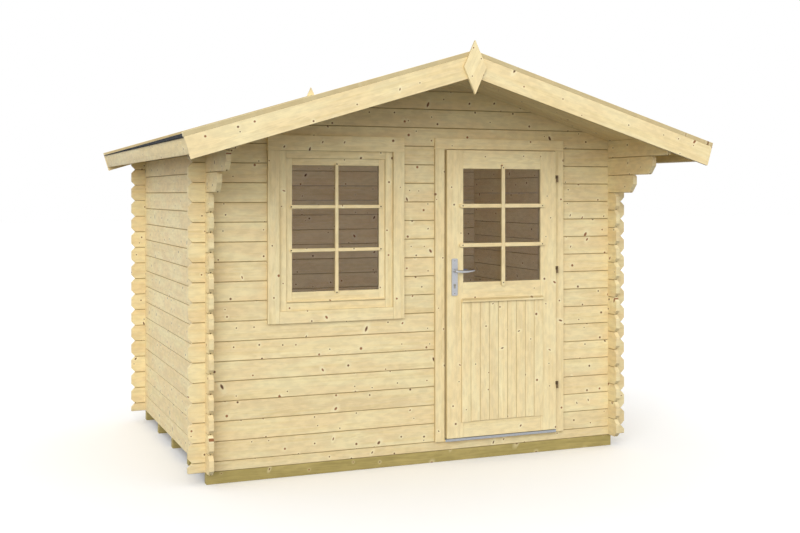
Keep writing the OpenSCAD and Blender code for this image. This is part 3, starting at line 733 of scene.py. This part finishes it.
for seed, node in enumerate(("door_frame", "door_threshold")):
    shape = solid_of(node)
    ease_edges(shape, 0.0012)
    set_grain(shape, 841.3 + seed * 9.1)
    add_piece("planed_" + node, shape, joinery_wood, "house", [node])
for seed, node in enumerate(("door_trim_outer", "door_trim_inner")):
    shape = solid_of(node)
    ease_edges(shape, 0.0018)
    set_grain(shape, 871.9 + seed * 11.7)
    add_piece("planed_" + node, shape, trim_wood, "house", [node])

plate_metal = make_metal("plate_metal", (0.42, 0.45, 0.5), 0.38)
cad["threshold_plate"].data.materials.clear()
cad["threshold_plate"].data.materials.append(plate_metal)
# The leaf hinges get the darker copy of the bronze as painted shade.
for node, metal in (("frame_hinges", hinge_bronze), ("leaf_hinges", hinge_metal)):
    cad[node].data.materials.clear()
    cad[node].data.materials.append(metal)

# ---------- Door leaf ----------
# A framed leaf of planed spruce: two stiles and three rails round a glazed upper
# half, and a lower half of upright grooved boards under a sloping drip strip.

leaf = [
    "door_stile_left",
    "door_stile_right",
    "door_top_rail",
    "door_lock_rail",
    "door_bottom_rail",
    "door_drip_strip",
]
for seed, node in enumerate(leaf):
    shape = solid_of(node)
    ease_edges(shape, 0.0018, least=0.012)
    set_grain(shape, 905.3 + seed * 7.7)
    add_piece("planed_" + node, shape, joinery_wood, "door", [node])

panel_low, panel_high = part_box("door_panel")
panel_boards = 9
rounding_room = 0.000001  # keeps rounding from adding a sliver of a tenth board
panel_pitch = (panel_high.x - panel_low.x) / panel_boards + rounding_room
shape = cut_boards("door_panel", 0, panel_pitch, 0.0008, 0.0032, Vector((0, -1, 0)))
set_grain(shape, 957.1, joint_depth=0.005)
add_piece("door_panel_boards", shape, joinery_wood, "door", ["door_panel"])

leaf_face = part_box("door_top_rail")[0].y
glazing_grid("door", "door_glass", leaf_face, 0.026, 0.013, 0.03, 991.7, "door")

# ---------- Lock and handle ----------
# A lever handle on long plates in satin silver, with a profile cylinder below.

handle_metal = make_metal("handle_metal", (0.47, 0.48, 0.5), 0.4)
lock_metal = make_metal("lock_metal", (0.34, 0.32, 0.27), 0.35)
for node, metal in (("handle_plates", handle_metal), ("lock_cylinder", lock_metal)):
    cad[node].data.materials.clear()
    cad[node].data.materials.append(metal)

lever_low, lever_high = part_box("door_handle")
plate_low, plate_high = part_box("handle_plates")
neck_r = 0.009
axis_x = lever_low.x + neck_r
axis_z = (lever_low.z + lever_high.z) / 2
reach = lever_high.x - axis_x


def ring(shape, centre, along, half_height, half_depth, sides=20):
    """An oval ring of vertices round a line, square to its direction."""
    up = Vector((-along.z, 0, along.x)) if abs(along.y) < 0.5 else Vector((0, 0, 1))
    wide = Vector((0, 1, 0)) if abs(along.y) < 0.5 else Vector((1, 0, 0))
    angles = [math.tau * k / sides for k in range(sides)]
    return [
        shape.verts.new(centre + up * half_height * math.sin(a) + wide * half_depth * math.cos(a))
        for a in angles
    ]


def skin(shape, rings):
    """Faces from ring to ring, closed at both ends."""
    for one, two in zip(rings, rings[1:]):
        for k in range(len(one)):
            j = (k + 1) % len(one)
            shape.faces.new((one[k], one[j], two[j], two[k]))
    shape.faces.new(rings[0])
    shape.faces.new(rings[-1])


def rounded_end(past):
    """Share of the lever's full size at a place that far past where an end starts to round."""
    return math.sqrt(max(1 - (past / 0.07) ** 2, 0.02)) if past > 0 else 1.0


def skin_spindle(shape, profile):
    """A turned shape round the spindle's axis, from pairs of place and radius."""
    way = Vector((0, 1, 0))
    skin(shape, [ring(shape, Vector((axis_x, y, axis_z)), way, radius, radius) for y, radius in profile])


shape = bmesh.new()
lever_steps = 18
lever_heel = 0.007
half_thickness = 0.0052
for mid_y, plate_y, out in (
    (lever_low.y + neck_r, plate_low.y, -1),
    (lever_high.y - neck_r, plate_high.y, 1),
):
    neck = [
        (plate_y, 0.0088),
        (plate_y + out * 0.012, 0.0082),
        (mid_y - out * 0.004, 0.0082),
        (mid_y + out * 0.003, 0.0068),
        (mid_y + out * 0.0055, 0.003),
    ]
    skin_spindle(shape, neck)
    rings = []
    for k in range(lever_steps + 1):
        t = k / lever_steps
        taper = rounded_end(t - 0.93) * rounded_end(0.06 - t)
        height = (0.0078 - 0.0042 * t * t + 0.0012 * math.sin(math.pi * t)) * taper
        rise = -0.0035 * math.sin(math.pi * t) + 0.004 * t ** 3
        back = out * -0.006 * t * t
        x = axis_x - lever_heel + (reach + lever_heel) * t
        centre = Vector((x, mid_y + back, axis_z + rise))
        rings.append(ring(shape, centre, Vector((1, 0, 0)), height, half_thickness * taper))
    skin(shape, rings)
spindle_r, spindle_out = 0.005, 0.002
spindle_ends = (plate_low.y - spindle_out, plate_high.y + spindle_out)
skin_spindle(shape, [(y, spindle_r) for y in spindle_ends])
bmesh.ops.recalc_face_normals(shape, faces=shape.faces)
add_piece("curved_levers", shape, handle_metal, "handle", ["door_handle"], smooth=40)

key_low, key_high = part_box("lock_cylinder")
# The key slots are thin near-black plates on both cylinder faces: painted shade inside the keyway.
keyway_shade = make_metal("keyway_shade", (0.02, 0.018, 0.016), 0.7, metallic=0.0)
slot_z = key_high.z - 0.0105
shape = bmesh.new()
for y in (key_low.y, key_high.y):
    spot = Matrix.Translation((axis_x, y, slot_z)) @ Matrix.Diagonal((0.0022, 0.0006, 0.009, 1))
    bmesh.ops.create_cube(shape, size=1.0, matrix=spot)
add_piece("keyway_shade_plates", shape, keyway_shade, "door")
screw_in = 0.014
screw_rows = (plate_low.z + screw_in, plate_high.z - screw_in)
screws = [Vector((axis_x, plate_low.y - 0.0002, z)) for z in screw_rows]
nail_heads("plate_screws", screws, 0.0034, hinge_metal, "door")

# ---------- Studio ----------
# A plain pale floor and a wide soft sky, with one broad soft lamp from the front. A
# second lamp inside stands for daylight in the room, and shows only on its surfaces.


def seen_by_camera(tree):
    """1 where the camera sees a surface straight, in a mirror or through glass."""
    path = add_node(tree, "ShaderNodeLightPath").outputs
    either = calc(tree, "MAXIMUM", path["Is Camera Ray"], path["Is Glossy Ray"])
    return calc(tree, "MAXIMUM", either, path["Is Transmission Ray"])


floor_mesh = bpy.data.meshes.new("studio_floor")
shape = bmesh.new()
bmesh.ops.create_grid(shape, x_segments=1, y_segments=1, size=60.0)
shape.to_mesh(floor_mesh)
shape.free()
floor_paint = bpy.data.materials.new("studio_floor")
floor_paint.use_nodes = True
tree = floor_paint.node_tree
surface = tree.nodes["Principled BSDF"]
surface.inputs["Roughness"].default_value = 1.0
surface.inputs["Specular IOR Level"].default_value = 0.0
tree.links.new(
    blend_colour(tree, seen_by_camera(tree), (0.17, 0.185, 0.205, 1), (1.0, 1.0, 1.0, 1)),
    surface.inputs["Base Color"],
)
floor_mesh.materials.append(floor_paint)
studio_floor = bpy.data.objects.new("studio_floor", floor_mesh)
bpy.context.scene.collection.objects.link(studio_floor)

world = bpy.data.worlds.new("studio_sky")
world.use_nodes = True
bpy.context.scene.world = world
tree = world.node_tree
sky_level = 1.02
level = calc(tree, "MULTIPLY_ADD", seen_by_camera(tree), 1.0 - sky_level, sky_level)
tree.nodes["Background"].inputs["Color"].default_value = (1, 1, 1, 1)
tree.links.new(level, tree.nodes["Background"].inputs["Strength"])

lamp_data = bpy.data.lights.new("front_lamp", "SUN")
lamp_data.energy = 1.85
lamp_data.angle = math.radians(55)
lamp = bpy.data.objects.new("front_lamp", lamp_data)
lamp.rotation_euler = (math.radians(74), 0, math.radians(-32))
bpy.context.scene.collection.objects.link(lamp)

fill_data = bpy.data.lights.new("room_fill", "AREA")
fill_data.energy = 7.5
fill_data.shape = "RECTANGLE"
fill_data.size = 2.4
fill_data.size_y = 1.7
fill = bpy.data.objects.new("room_fill", fill_data)
fill.location = (0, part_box("window_trim_inner")[1].y + 0.03, 1.1)
fill.rotation_euler = (math.radians(90), 0, 0)
fill.visible_camera = False
fill.visible_transmission = False
fill.visible_glossy = False
bpy.context.scene.collection.objects.link(fill)

camera_data = bpy.data.cameras.new("camera")
camera_data.sensor_width = 36.0
camera_data.lens = 50.52
camera_data.shift_y = -0.0902
camera_data.clip_end = 200
camera = bpy.data.objects.new("camera", camera_data)
camera.location = (
    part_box("left_wall")[0].x - 1.405,
    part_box("front_sill_log")[0].y - 6.332,
    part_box("left_wall")[0].z + 1.5855,
)
camera.rotation_euler = (math.radians(90), 0, math.radians(-22.351))
bpy.context.scene.collection.objects.link(camera)
bpy.context.scene.camera = camera

bpy.context.scene.view_settings.view_transform = "Standard"
